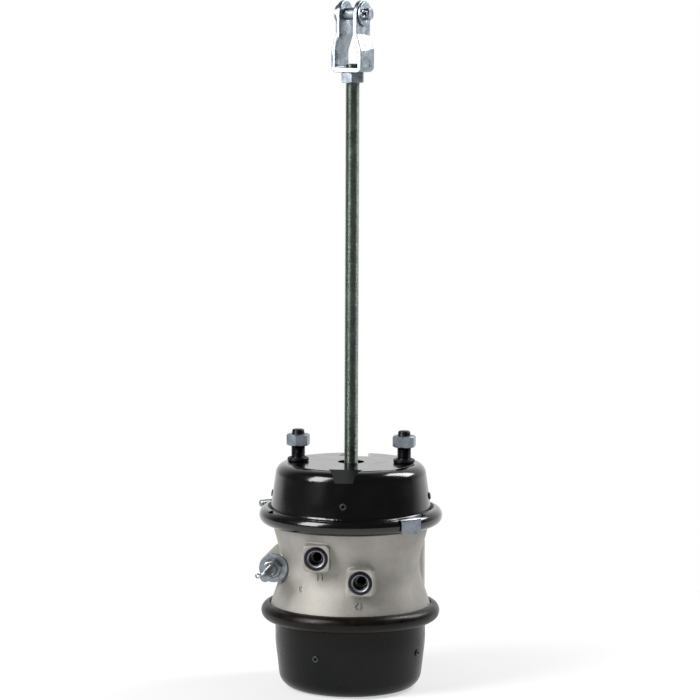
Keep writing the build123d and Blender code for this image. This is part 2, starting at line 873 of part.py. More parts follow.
# ---------------------------------------------------------------- clevis
yoke_angle = math.radians(yoke_turn)
yoke_x = Vector(math.cos(yoke_angle), math.sin(yoke_angle), 0)
yoke_y = Vector(-math.sin(yoke_angle), math.cos(yoke_angle), 0)
yoke_front = Plane(origin=(0, 0, yoke_z), x_dir=yoke_x, z_dir=-yoke_y)
yoke_side = Plane(origin=(0, 0, yoke_z), x_dir=yoke_y, z_dir=yoke_x)
pin_plane = Plane(origin=(0, 0, pin_z), x_dir=yoke_y, z_dir=yoke_x)
with BuildPart() as clevis_yoke:
    with BuildSketch(yoke_front):
        with BuildLine():
            FilletPolyline(
                (-yoke_ear_half, yoke_height),
                (-yoke_ear_half, yoke_step_high),
                (-yoke_base_half, yoke_step_low),
                (-yoke_base_half, 0),
                (yoke_base_half, 0),
                (yoke_base_half, yoke_step_low),
                (yoke_ear_half, yoke_step_high),
                (yoke_ear_half, yoke_height),
                radius=yoke_bends,
            )
            offset(amount=yoke_strip, side=Side.LEFT)
        make_face()
    extrude(amount=yoke_half_width, both=True)
    with BuildSketch(yoke_side):
        with BuildLine():
            Polyline(
                (yoke_half_width, clevis_pin_height),
                (yoke_half_width, 0),
                (-yoke_half_width, 0),
                (-yoke_half_width, clevis_pin_height),
            )
            ThreePointArc(
                (-yoke_half_width, clevis_pin_height),
                (0, yoke_height),
                (yoke_half_width, clevis_pin_height),
            )
        make_face()
    extrude(amount=2 * yoke_base_half, both=True, mode=Mode.INTERSECT)
    with BuildSketch(pin_plane):
        Circle(clevis_pin_radius + running_clearance)
    extrude(amount=2 * yoke_base_half, both=True, mode=Mode.SUBTRACT)
    with BuildSketch(Plane.XY.offset(yoke_z)):
        Circle(thread_radius)
    extrude(amount=yoke_strip, mode=Mode.SUBTRACT)
save(clevis_yoke, "clevis_yoke")

clevis_lock_nut = hex_nuts(
    [Plane.XY.offset(yoke_z - lock_nut_height)], nut_across_flats, lock_nut_height, thread_radius, 30
)
save(clevis_lock_nut, "clevis_lock_nut")

washer_inner = yoke_ear_half + 0.2
cotter_place = washer_inner + clevis_washer_height + 2.6
pin_end = cotter_place + clevis_pin_tail
with BuildPart() as clevis_pin:
    with BuildSketch(pin_plane.offset(-washer_inner - clevis_head_height)):
        Circle(clevis_head_radius)
    extrude(amount=clevis_head_height)
    with BuildSketch(pin_plane.offset(-washer_inner)):
        Circle(clevis_pin_radius)
    extrude(amount=washer_inner + pin_end)
    chamfer(clevis_pin.faces().sort_by(axis_of(pin_plane))[-1].edges(), 1.5)
    chamfer(clevis_pin.faces().sort_by(axis_of(pin_plane))[0].edges(), 1.0)
    with BuildSketch(Plane(origin=pin_plane.origin + yoke_x * cotter_place, x_dir=yoke_x, z_dir=yoke_y)):
        Circle(cotter_wire + loose_clearance)
    extrude(amount=2 * clevis_pin_radius, both=True, mode=Mode.SUBTRACT)
save(clevis_pin, "clevis_pin")

clevis_washer = turned(
    [pin_plane.offset(washer_inner)],
    ring_outline(clevis_pin_radius + running_clearance, clevis_washer_radius, clevis_washer_height, 0.4),
)
save(clevis_washer, "clevis_washer")

cotter_pin = split_pin(
    Plane(origin=pin_plane.origin + yoke_x * cotter_place, x_dir=yoke_y, z_dir=yoke_x),
    cotter_wire,
    clevis_pin_radius + 1.5,
    cotter_eye,
    cotter_leg,
)
save(cotter_pin, "cotter_pin")

# ---------------------------------------------------------------- spring housing
shoulder_z = spring_joint_z - spring_shoulder
taper = math.atan2(spring_wall_radius - spring_base_corner, shoulder_z - base_z)
spring_vent_z = spring_joint_z - spring_vent_drop
spring_vent_planes = [
    wall_plane(
        spring_vent_turn + 90 * quarter,
        spring_wall_radius - (shoulder_z - spring_vent_z) * math.tan(taper),
        spring_vent_z,
        -math.degrees(taper),
    )
    for quarter in range(4)
]
with BuildPart() as spring_housing:
    add(pressed_sheet(
        [
            (spring_flange_radius, spring_flange_z),
            (spring_wall_radius, spring_flange_z),
            (spring_wall_radius, shoulder_z),
            (spring_base_corner, base_z),
            (plug_radius, base_z),
        ],
        [2, 120, spring_base_bend],
        spring_sheet,
    ).part)
    for plane in spring_vent_planes:
        with BuildSketch(plane):
            Circle(vent_radius)
        extrude(amount=2 * spring_sheet, both=True, mode=Mode.SUBTRACT)
save(spring_housing, "spring_housing")

with BuildPart() as crimp_ring:
    add(clamp_section(spring_ring_centre, spring_joint_z))
    revolve(axis=Axis.Z)
save(crimp_ring, "crimp_ring")

dust_plug = turned(
    [Plane.XY.offset(base_z)],
    [
        (0, 0.5),
        (plug_radius - 0.5, 0.5),
        (plug_radius, 1.0),
        (plug_radius, spring_sheet),
        (plug_radius + plug_lip, spring_sheet),
        (plug_radius + plug_lip, spring_sheet + 1.0),
        (plug_radius, spring_sheet + 2.5),
        (plug_radius - 2.5, spring_sheet + 2.5),
        (plug_radius - 2.5, 3.0),
        (0, 3.0),
    ],
)
save(dust_plug, "dust_plug")

# ---------------------------------------------------------------- vent plugs


def vent_plugs(planes, sheet):
    """Hollow filter plugs pushed into the vent holes of a pressing."""
    return turned(
        planes,
        [
            (vent_bore, -sheet - 1),
            (vent_radius, -sheet - 1),
            (vent_radius, 0),
            (vent_flange_radius, 0),
            (vent_flange_radius, vent_flange * 0.6),
            (vent_flange_radius - vent_flange * 0.4, vent_flange),
            (vent_bore + 0.4, vent_flange),
            (vent_bore, vent_flange - 0.4),
        ],
    )


service_vent_plugs = vent_plugs(service_vent_planes, service_sheet)
save(service_vent_plugs, "service_vent_plugs")

spring_vent_plugs = vent_plugs(spring_vent_planes, spring_sheet)
save(spring_vent_plugs, "spring_vent_plugs")

# ---------------------------------------------------------------- pressure plate and power spring
plate_under_z = spring_plate_z - pressure_plate_height
hub_end_z = plate_under_z - pressure_hub_height
with BuildPart() as pressure_plate:
    with BuildSketch(Plane.XZ):
        with BuildLine():
            Polyline(
                (0, spring_plate_z),
                (pressure_plate_radius - 3, spring_plate_z),
                (pressure_plate_radius, spring_plate_z - 3),
                (pressure_plate_radius, spring_plate_z - pressure_rim_drop),
                (pressure_plate_radius - pressure_rim, spring_plate_z - pressure_rim_drop),
                (pressure_plate_radius - pressure_rim, plate_under_z),
                (pressure_hub_radius, plate_under_z),
                (pressure_hub_radius, hub_end_z),
                (tool_socket_radius, hub_end_z),
                (tool_socket_radius, spring_plate_z - pressure_rim),
                (0, spring_plate_z - pressure_rim),
                close=True,
            )
        make_face()
    revolve(axis=Axis.Z)
    with BuildSketch(Plane.XY.offset(hub_end_z)):
        Rectangle(2 * tool_cross_half + 2, 2 * tool_cross_radius + 2)
    extrude(amount=6, mode=Mode.SUBTRACT)
save(pressure_plate, "pressure_plate")

power_spring = coil(
    power_wire, power_bottom_radius, power_top_radius, base_z + spring_sheet, plate_under_z, 3
)
save(power_spring, "power_spring")

# ---------------------------------------------------------------- release tool in its pocket
tool_pin_place = tool_reach - tool_pin_inset
cross_place = tool_depth - tool_cross_radius
with BuildPart() as release_tool_bolt:
    add(turned(
        [tool_plane],
        [
            (0, -tool_depth),
            (tool_radius - 1, -tool_depth),
            (tool_radius, -tool_depth + 1),
            (tool_radius, tool_reach - 3),
            (tool_radius - tool_end, tool_reach),
            (0, tool_reach),
        ],
    ).part)
    with BuildSketch(Plane(
        origin=tool_plane.origin - tool_plane.z_dir * cross_place,
        x_dir=tool_plane.x_dir,
        z_dir=tool_plane.y_dir,
    )):
        Circle(tool_cross_radius)
    extrude(amount=tool_cross_half, both=True)
    with BuildSketch(Plane(
        origin=tool_plane.origin + tool_plane.z_dir * tool_pin_place,
        x_dir=tool_plane.z_dir,
        z_dir=tool_plane.x_dir,
    )):
        Circle(tool_pin_wire + loose_clearance)
    extrude(amount=2 * tool_radius, both=True, mode=Mode.SUBTRACT)
save(release_tool_bolt, "release_tool_bolt")

release_tool_washer = turned(
    [tool_plane], ring_outline(tool_radius + loose_clearance, tool_washer_radius, tool_washer_height, 0.5)
)
save(release_tool_washer, "release_tool_washer")

release_tool_nut = hex_nuts(
    [tool_plane.offset(tool_washer_height)], tool_nut_flats, tool_nut_height, tool_radius, 15
)
save(release_tool_nut, "release_tool_nut")

release_tool_pin = split_pin(
    Plane(
        origin=tool_plane.origin + tool_plane.z_dir * tool_pin_place,
        x_dir=tool_plane.x_dir,
        z_dir=tool_plane.z_dir,
    ),
    tool_pin_wire,
    tool_radius + 0.8,
    tool_pin_eye,
    tool_pin_leg,
)
save(release_tool_pin, "release_tool_pin")
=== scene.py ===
import bmesh
import bpy
import json
import math
from mathutils import Matrix, Vector, noise
from mathutils.bvhtree import BVHTree


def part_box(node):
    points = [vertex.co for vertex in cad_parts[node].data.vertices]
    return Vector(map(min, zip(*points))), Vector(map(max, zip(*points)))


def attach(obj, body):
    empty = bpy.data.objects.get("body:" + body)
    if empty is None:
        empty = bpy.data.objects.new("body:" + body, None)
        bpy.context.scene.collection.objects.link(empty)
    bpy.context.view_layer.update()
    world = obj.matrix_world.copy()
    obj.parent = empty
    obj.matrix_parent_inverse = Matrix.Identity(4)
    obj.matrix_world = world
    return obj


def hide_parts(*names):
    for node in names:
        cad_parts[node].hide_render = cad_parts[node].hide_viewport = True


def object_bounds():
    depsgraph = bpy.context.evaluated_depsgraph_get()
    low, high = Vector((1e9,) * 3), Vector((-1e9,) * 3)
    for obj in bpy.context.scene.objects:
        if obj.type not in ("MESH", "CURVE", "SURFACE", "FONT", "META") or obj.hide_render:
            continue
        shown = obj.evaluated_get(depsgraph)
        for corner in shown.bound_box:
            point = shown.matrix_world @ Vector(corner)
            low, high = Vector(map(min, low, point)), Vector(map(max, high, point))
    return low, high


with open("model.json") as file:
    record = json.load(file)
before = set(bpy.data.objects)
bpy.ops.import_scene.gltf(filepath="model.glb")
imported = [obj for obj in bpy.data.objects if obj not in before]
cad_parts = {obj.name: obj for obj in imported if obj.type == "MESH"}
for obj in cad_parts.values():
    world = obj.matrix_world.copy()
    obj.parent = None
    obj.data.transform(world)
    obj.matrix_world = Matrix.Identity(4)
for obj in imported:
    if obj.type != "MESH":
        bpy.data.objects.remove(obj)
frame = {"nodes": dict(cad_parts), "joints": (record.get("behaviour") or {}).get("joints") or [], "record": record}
nodes = frame["nodes"]
cad_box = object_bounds()
MM = 0.001

# ---------------------------------------------------------------- shader helpers


def srgb(code):
    """A hex colour as linear red, green, blue and full alpha."""
    channels = [int(code[place:place + 2], 16) / 255 for place in (1, 3, 5)]
    return [c / 12.92 if c <= 0.04045 else ((c + 0.055) / 1.055) ** 2.4 for c in channels] + [1.0]


def add_node(tree, kind, inputs=None, **settings):
    """Adds a node, sets its properties, and gives its inputs values or other nodes' outputs."""
    item = tree.nodes.new("ShaderNode" + kind)
    for name, value in settings.items():
        setattr(item, name, value)
    for name, value in (inputs or {}).items():
        if isinstance(value, bpy.types.NodeSocket):
            tree.links.new(value, item.inputs[name])
        else:
            item.inputs[name].default_value = value
    return item


def new_surface(name, values):
    """A material with one Principled BSDF; returns it, its tree, the shader and the object coordinates."""
    material = bpy.data.materials.new(name)
    material.use_nodes = True
    tree = material.node_tree
    shader = tree.nodes["Principled BSDF"]
    for socket, value in values.items():
        shader.inputs[socket].default_value = value
    place = add_node(tree, "TexCoord").outputs["Object"]
    return material, tree, shader, place


# The middle of a noise's range, which most of its values lie in.
NOISE_RANGE = {"From Min": 0.3, "From Max": 0.7}


# ---------------------------------------------------------------- finishes


def make_gloss_enamel():
    """Stoved black enamel on pressed steel: a deep gloss with a faint orange peel and a breath of dust."""
    material, tree, shader, place = new_surface(
        "stoved_black_enamel",
        {
            "Base Color": srgb("#050506"),
            "Metallic": 0.0,
            "IOR": 1.52,
            "Specular IOR Level": 0.42,
            "Coat Weight": 0.35,
            "Coat Roughness": 0.12,
        },
    )
    smear = add_node(
        tree, "TexNoise", {"Vector": place, "Scale": 1 / (22 * MM), "Detail": 4.0, "Roughness": 0.5}
    ).outputs["Fac"]
    sheen = add_node(tree, "MapRange", {"Value": smear, **NOISE_RANGE, "To Min": 0.13, "To Max": 0.22})
    tree.links.new(sheen.outputs["Result"], shader.inputs["Roughness"])
    peel = add_node(
        tree, "TexNoise", {"Vector": place, "Scale": 1 / (3.5 * MM), "Detail": 2.0, "Roughness": 0.5}
    ).outputs["Fac"]
    bump = add_node(tree, "Bump", {"Height": peel, "Distance": 0.012 * MM, "Strength": 1.0})
    tree.links.new(bump.outputs["Normal"], shader.inputs["Normal"])
    return material


def make_satin_enamel(name, dark, pale, low, high):
    """Dipped black enamel, less glossy than stoved: soft broad reflections and handling dust."""
    material, tree, shader, place = new_surface(
        name, {"Metallic": 0.0, "IOR": 1.5, "Specular IOR Level": 0.2}
    )
    dust = add_node(
        tree, "TexNoise", {"Vector": place, "Scale": 1 / (14 * MM), "Detail": 5.0, "Roughness": 0.6}
    ).outputs["Fac"]
    share = add_node(tree, "MapRange", {"Value": dust, **NOISE_RANGE, "To Min": 0.0, "To Max": 1.0})
    colour = add_node(
        tree, "Mix", {0: share.outputs["Result"], 6: srgb(dark), 7: srgb(pale)}, data_type="RGBA"
    )
    tree.links.new(colour.outputs[2], shader.inputs["Base Color"])
    sheen = add_node(tree, "MapRange", {"Value": dust, **NOISE_RANGE, "To Min": low, "To Max": high})
    tree.links.new(sheen.outputs["Result"], shader.inputs["Roughness"])
    fine = add_node(
        tree, "TexNoise", {"Vector": place, "Scale": 1 / (1.2 * MM), "Detail": 2.0, "Roughness": 0.5}
    ).outputs["Fac"]
    bump = add_node(tree, "Bump", {"Height": fine, "Distance": 0.02 * MM, "Strength": 1.0})
    tree.links.new(bump.outputs["Normal"], shader.inputs["Normal"])
    return material


def make_cast_aluminium():
    """Shot-blasted aluminium casting: warm pale grey with a fine pitted grain and cloudy patches."""
    material, tree, shader, place = new_surface("shot_blasted_aluminium", {"Metallic": 0.6})
    clouds = add_node(
        tree, "TexNoise", {"Vector": place, "Scale": 1 / (26 * MM), "Detail": 3.0, "Roughness": 0.5}
    ).outputs["Fac"]
    cloudy = add_node(tree, "MapRange", {"Value": clouds, **NOISE_RANGE, "To Min": 0.0, "To Max": 1.0})
    tone = add_node(
        tree,
        "Mix",
        {0: cloudy.outputs["Result"], 6: srgb("#A09D97"), 7: srgb("#B9B6B0")},
        data_type="RGBA",
    )
    speckle = add_node(
        tree, "TexNoise", {"Vector": place, "Scale": 1 / (0.9 * MM), "Detail": 3.0, "Roughness": 0.7}
    ).outputs["Fac"]
    gritty = add_node(tree, "MapRange", {"Value": speckle, **NOISE_RANGE, "To Min": 0.0, "To Max": 0.5})
    grit = add_node(
        tree,
        "Mix",
        {0: gritty.outputs["Result"], 6: tone.outputs[2], 7: srgb("#84817C")},
        data_type="RGBA",
    )
    tree.links.new(grit.outputs[2], shader.inputs["Base Color"])
    sheen = add_node(tree, "MapRange", {"Value": clouds, **NOISE_RANGE, "To Min": 0.56, "To Max": 0.66})
    tree.links.new(sheen.outputs["Result"], shader.inputs["Roughness"])
    pits = add_node(
        tree, "TexVoronoi", {"Vector": place, "Scale": 1 / (1.1 * MM), "Randomness": 1.0}
    ).outputs["Distance"]
    rough = add_node(tree, "Math", {0: pits, 1: speckle, 2: speckle}, operation="MULTIPLY_ADD")
    bump = add_node(tree, "Bump", {"Height": rough.outputs[0], "Distance": 0.11 * MM, "Strength": 1.0})
    tree.links.new(bump.outputs["Normal"], shader.inputs["Normal"])
    return material


def make_zinc(name, dark, pale, roughness, spangle):
    """Zinc plate or machined steel: a bright metal with faint spangles and duller, handled patches."""
    material, tree, shader, place = new_surface(name, {"Metallic": 1.0})
    spots = add_node(
        tree, "TexNoise", {"Vector": place, "Scale": 1 / spangle, "Detail": 4.0, "Roughness": 0.65}
    ).outputs["Fac"]
    share = add_node(tree, "MapRange", {"Value": spots, **NOISE_RANGE, "To Min": 0.0, "To Max": 1.0})
    tone = add_node(
        tree, "Mix", {0: share.outputs["Result"], 6: srgb(dark), 7: srgb(pale)}, data_type="RGBA"
    )
    tree.links.new(tone.outputs[2], shader.inputs["Base Color"])
    haze = add_node(
        tree, "TexNoise", {"Vector": place, "Scale": 1 / (9 * MM), "Detail": 3.0, "Roughness": 0.5}
    ).outputs["Fac"]
    sheen = add_node(
        tree,
        "MapRange",
        {"Value": haze, **NOISE_RANGE, "To Min": roughness - 0.07, "To Max": roughness + 0.09},
    )
    tree.links.new(sheen.outputs["Result"], shader.inputs["Roughness"])
    bump = add_node(tree, "Bump", {"Height": spots, "Distance": 0.01 * MM, "Strength": 1.0})
    tree.links.new(bump.outputs["Normal"], shader.inputs["Normal"])
    return material


def make_dark_steel(name, tone, roughness):
    """Phosphated or oiled steel: dark metal with a fine even grain."""
    material, tree, shader, place = new_surface(name, {"Metallic": 0.9})
    spots = add_node(
        tree, "TexNoise", {"Vector": place, "Scale": 1 / (1.5 * MM), "Detail": 3.0, "Roughness": 0.5}
    ).outputs["Fac"]
    share = add_node(tree, "MapRange", {"Value": spots, **NOISE_RANGE, "To Min": 0.0, "To Max": 0.16})
    colour = add_node(
        tree, "Mix", {0: share.outputs["Result"], 6: srgb(tone), 7: srgb("#6C6F75")}, data_type="RGBA"
    )
    tree.links.new(colour.outputs[2], shader.inputs["Base Color"])
    sheen = add_node(
        tree, "MapRange", {"Value": spots, **NOISE_RANGE, "To Min": roughness, "To Max": roughness + 0.12}
    )
    tree.links.new(sheen.outputs["Result"], shader.inputs["Roughness"])
    bump = add_node(tree, "Bump", {"Height": spots, "Distance": 0.008 * MM, "Strength": 1.0})
    tree.links.new(bump.outputs["Normal"], shader.inputs["Normal"])
    return material


def make_moulded(name, tone, accent, roughness, size):
    """Moulded rubber or plastic: an even colour with a slight mottle and a dull skin."""
    material, tree, shader, place = new_surface(name, {"Metallic": 0.0, "IOR": 1.5})
    mottle = add_node(
        tree, "TexNoise", {"Vector": place, "Scale": 1 / size, "Detail": 3.0, "Roughness": 0.5}
    ).outputs["Fac"]
    share = add_node(tree, "MapRange", {"Value": mottle, **NOISE_RANGE, "To Min": 0.0, "To Max": 1.0})
    colour = add_node(
        tree, "Mix", {0: share.outputs["Result"], 6: srgb(tone), 7: srgb(accent)}, data_type="RGBA"
    )
    tree.links.new(colour.outputs[2], shader.inputs["Base Color"])
    sheen = add_node(
        tree,
        "MapRange",
        {"Value": mottle, **NOISE_RANGE, "To Min": roughness - 0.06, "To Max": roughness + 0.06},
    )
    tree.links.new(sheen.outputs["Result"], shader.inputs["Roughness"])
    bump = add_node(tree, "Bump", {"Height": mottle, "Distance": 0.02 * MM, "Strength": 1.0})
    tree.links.new(bump.outputs["Normal"], shader.inputs["Normal"])
    return material


def make_turned_aluminium():
    """Turned aluminium: bright metal with fine rings round its axis."""
    material, tree, shader, place = new_surface("turned_aluminium", {"Metallic": 1.0})
    rings = add_node(
        tree,
        "TexWave",
        {"Vector": place, "Scale": 1 / (6 * MM), "Distortion": 0.6, "Detail": 2.0},
        bands_direction="Z",
    ).outputs["Fac"]
    tone = add_node(tree, "Mix", {0: rings, 6: srgb("#B9BBBD"), 7: srgb("#D0D1D2")}, data_type="RGBA")
    tree.links.new(tone.outputs[2], shader.inputs["Base Color"])
    sheen = add_node(
        tree,
        "MapRange",
        {"Value": rings, "From Min": 0.0, "From Max": 1.0, "To Min": 0.24, "To Max": 0.34},
    )
    tree.links.new(sheen.outputs["Result"], shader.inputs["Roughness"])
    bump = add_node(tree, "Bump", {"Height": rings, "Distance": 0.01 * MM, "Strength": 1.0})
    tree.links.new(bump.outputs["Normal"], shader.inputs["Normal"])
    return material


gloss_enamel = make_gloss_enamel()
satin_enamel = make_satin_enamel("dipped_black_enamel", "#050607", "#0B0C0E", 0.22, 0.34)
dusty_enamel = make_satin_enamel("brown_black_enamel", "#080706", "#16110D", 0.24, 0.42)
cast_aluminium = make_cast_aluminium()
bright_zinc = make_zinc("bright_zinc_plate", "#747D85", "#9FA8B0", 0.34, 9 * MM)
chromate_zinc = make_zinc("green_chromated_zinc", "#5F6862", "#7D867F", 0.34, 12 * MM)
pale_zinc = make_zinc("pale_chromated_zinc", "#7C8489", "#A4ABAF", 0.36, 6 * MM)
black_steel = make_dark_steel("black_oxide_steel", "#17171A", 0.32)
insert_steel = make_dark_steel("phosphated_steel", "#1E2029", 0.28)
machined_steel = make_zinc("machined_steel", "#C2C4C6", "#D6D7D8", 0.5, 2 * MM)
spring_steel = make_dark_steel("coated_spring_steel", "#1D1E20", 0.4)
rubber = make_moulded("nitrile_rubber", "#0C0C0D", "#191919", 0.6, 4 * MM)
vent_plastic = make_moulded("vent_nylon", "#1E1E20", "#2C2C2E", 0.45, 2 * MM)
bush_plastic = make_moulded("acetal", "#C9BFA8", "#D6CDB8", 0.45, 5 * MM)
turned_aluminium = make_turned_aluminium()

node_finishes = {
    "non_pressure_housing": gloss_enamel,
    "clamp_band": gloss_enamel,
    "spring_housing": satin_enamel,
    "crimp_ring": dusty_enamel,
    "flange_case": cast_aluminium,
    "mounting_studs": black_steel,
    "stud_collars": black_steel,
    "mounting_nuts": bright_zinc,
    "clamp_bolt": pale_zinc,
    "clamp_nut": pale_zinc,
    "id_tab": bright_zinc,
    "port_inserts": insert_steel,
    "service_vent_plugs": vent_plastic,
    "spring_vent_plugs": vent_plastic,
    "dust_plug": rubber,
    "guide_bush": bush_plastic,
    "adapter_rod_seals": rubber,
    "service_diaphragm": rubber,
    "spring_diaphragm": rubber,
    "service_return_spring": spring_steel,
    "adapter_return_spring": spring_steel,
    "power_spring": spring_steel,
    "pushrod": chromate_zinc,
    "pushrod_plate": insert_steel,
    "clevis_lock_nut": bright_zinc,
    "clevis_yoke": bright_zinc,
    "clevis_pin": bright_zinc,
    "clevis_washer": bright_zinc,
    "cotter_pin": pale_zinc,
    "adapter_rod": turned_aluminium,
    "adapter_foot": turned_aluminium,
    "pressure_plate": cast_aluminium,
    "release_tool_bolt": pale_zinc,
    "release_tool_nut": pale_zinc,
    "release_tool_washer": pale_zinc,
    "release_tool_pin": pale_zinc,
}
for name, finish in node_finishes.items():
    for holder in nodes[name].material_slots:
        holder.material = finish
    if not nodes[name].material_slots:
        nodes[name].data.materials.append(finish)

# ---------------------------------------------------------------- mesh helpers


def body_of(node):
    """The body that a node rides on."""
    for body, members in frame["record"]["behaviour"]["bodies"].items():
        if node in members:
            return body


def add_piece(name, mesh, node, finish, crease=35):
    """Puts a mesh in the scene in place of a node, on the node's body and with the given finish."""
    mesh.shade_smooth()
    mesh.set_sharp_from_angle(angle=math.radians(crease))
    mesh.materials.clear()
    mesh.materials.append(finish)
    piece = bpy.data.objects.new(name, mesh)
    bpy.context.scene.collection.objects.link(piece)
    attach(piece, body_of(node))
    return piece


def mesh_of(name, points, faces):
    """A mesh from points and faces with its normals turned outward."""
    mesh = bpy.data.meshes.new(name)
    mesh.from_pydata(points, [], faces)
    work = bmesh.new()
    work.from_mesh(mesh)
    bmesh.ops.recalc_face_normals(work, faces=work.faces)
    work.to_mesh(mesh)
    work.free()
    return mesh


def placement(origin, direction, right=(1, 0, 0)):
    """The matrix that puts local Z along a direction and local X near right."""
    z_dir = Vector(direction).normalized()
    y_dir = z_dir.cross(Vector(right)).normalized()
    x_dir = y_dir.cross(z_dir)
    turn = Matrix((x_dir, y_dir, z_dir)).transposed().to_4x4()
    return Matrix.Translation(Vector(origin)) @ turn


def thread_depth(share):
    """Depth of a 60 degree thread at this share of its pitch: narrow crest, straight flanks, round root."""
    slope = 1 - abs(2 * share - 1)
    reach = min(max((slope - 0.12) / 0.76, 0), 1)
    return reach * reach * (3 - 2 * reach) * 0.35 + reach * 0.65


THREAD_ROWS = 8  # rows of points in one pitch


def turned_points(outline, pitch, depth):
    """Rows of (radius, height, thread depth) along an outline, with a thread between marked points."""
    rows = []
    for first, second in zip(outline, outline[1:]):
        rows.append((first[0], first[1], 0.0))
        if len(first) > 2 and len(second) > 2:
            count = max(2, round(abs(second[1] - first[1]) / pitch * THREAD_ROWS))
            for step in range(1, count):
                share = step / count
                height = first[1] + (second[1] - first[1]) * share
                near_end = min(share, 1 - share) * abs(second[1] - first[1])
                rows.append((first[0], height, depth * min(1.0, near_end / pitch)))
    rows.append((outline[-1][0], outline[-1][1], 0.0))
    return rows


def turned_mesh(name, outline, columns=48, pitch=1.0, depth=0.0, closed=False):
    """A body turned about Z. Points are (radius, height), and a third item marks the ends of a thread."""
    rows = turned_points(outline, pitch, depth)
    points = []
    for radius, height, cut in rows:
        for column in range(columns):
            angle = math.tau * column / columns
            share = (height / pitch - column / columns) % 1
            reach = radius - cut * thread_depth(share)
            points.append((reach * math.cos(angle), reach * math.sin(angle), height))
    faces = []
    for row in range(len(rows) - (0 if closed else 1)):
        near, far = row * columns, (row + 1) % len(rows) * columns
        for column in range(columns):
            after = (column + 1) % columns
            faces.append((near + column, near + after, far + after, far + column))
    if not closed:
        faces.append(tuple(range(columns)))
        faces.append(tuple(range((len(rows) - 1) * columns, len(rows) * columns)))
    return mesh_of(name, points, faces)


def joined(name, *meshes):
    """One mesh out of several."""
    work = bmesh.new()
    for mesh in meshes:
        work.from_mesh(mesh)
    whole = bpy.data.meshes.new(name)
    work.to_mesh(whole)
    work.free()
    return whole


def wire_mesh(name, points, radius, closed=False):
    """A round wire along points, as a mesh."""
    curve = bpy.data.curves.new(name, "CURVE")
    curve.dimensions = "3D"
    curve.bevel_depth = radius
    curve.bevel_resolution = 4
    curve.use_fill_caps = True
    line = curve.splines.new("NURBS")
    line.points.add(len(points) - 1)
    for knot, point in zip(line.points, points):
        knot.co = (*point, 1.0)
    line.order_u = 3
    line.use_endpoint_u = not closed
    line.use_cyclic_u = closed
    line.resolution_u = 6
    holder = bpy.data.objects.new(name, curve)
    mesh = bpy.data.meshes.new_from_object(holder)
    bpy.data.objects.remove(holder)
    return mesh


def soften(node, width):
    """Rounds the hard edges of a CAD piece a little, as pressing, plating or tumbling leaves them."""
    weld = nodes[node].modifiers.new("closed_seams", "WELD")
    weld.merge_threshold = 0.002 * MM
    bevel = nodes[node].modifiers.new("rounded_edges", "BEVEL")
    bevel.width = width
    bevel.segments = 2
    bevel.limit_method = "ANGLE"
    bevel.angle_limit = math.radians(32)
    bevel.harden_normals = False
    bevel.use_clamp_overlap = True


# ---------------------------------------------------------------- threaded pieces
ROD_THREAD = 1.5 * MM
ROD_THREAD_DEPTH = 0.85 * MM


def make_push_rod():
    """The push rod, threaded over its whole length."""
    low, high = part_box("pushrod")
    radius = (high.x - low.x) / 2
    end = 1.2 * MM
    outline = [
        (radius - end, low.z),
        (radius, low.z + end, "thread"),
        (radius, high.z - end, "thread"),
        (radius - end, high.z),
    ]
    mesh = turned_mesh("push_rod_thread", outline, 40, ROD_THREAD, ROD_THREAD_DEPTH)
    piece = add_piece("threaded_push_rod", mesh, "pushrod", chromate_zinc, 80)
    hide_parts("pushrod")


def make_mounting_studs():
    """Both studs: a flat head inside, and a thread from the collar to a domed end."""
    low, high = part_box("mounting_studs")
    head = 12.5 * MM
    collar_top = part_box("stud_collars")[1].z
    radius = 8.0 * MM
    tip = 7.0 * MM
    ceiling = low.z + 5.0 * MM
    nut_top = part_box("mounting_nuts")[1].z
    outline = [
        (1.0 * MM, low.z),
        (head - 0.5 * MM, low.z),
        (head, low.z + 0.5 * MM),
        (head, ceiling),
        (radius, ceiling),
        (radius, collar_top - 1 * MM),
        (radius, collar_top, "thread"),
        (radius, nut_top - 2 * MM, "thread"),
        (tip, nut_top - 1 * MM),
        (tip, high.z - 2.2 * MM),
        (tip - 0.4 * MM, high.z - 0.9 * MM),
        (tip - 1.3 * MM, high.z - 0.2 * MM),
        (tip - 2.4 * MM, high.z),
    ]
    reach = (high.x - low.x) / 2 - head
    single = turned_mesh("stud", outline, 48, ROD_THREAD, ROD_THREAD_DEPTH)
    pair = []
    for side in (-1, 1):
        copy = single.copy()
        copy.transform(Matrix.Translation((side * reach, 0, 0)))
        pair.append(copy)
    piece = add_piece("threaded_mounting_studs", joined("studs", *pair), "mounting_studs", black_steel, 50)
    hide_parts("mounting_studs")


TOOL_ANGLE = math.radians(3)
TOOL_DIRECTION = Vector((-math.sin(TOOL_ANGLE), -math.cos(TOOL_ANGLE), 0))


def tool_place():
    """Where the release tool's axis meets its seat, from its joint."""
    for joint in frame["joints"]:
        if joint["name"] == "release_tool_turn":
            return placement(joint["pos_m"], TOOL_DIRECTION)


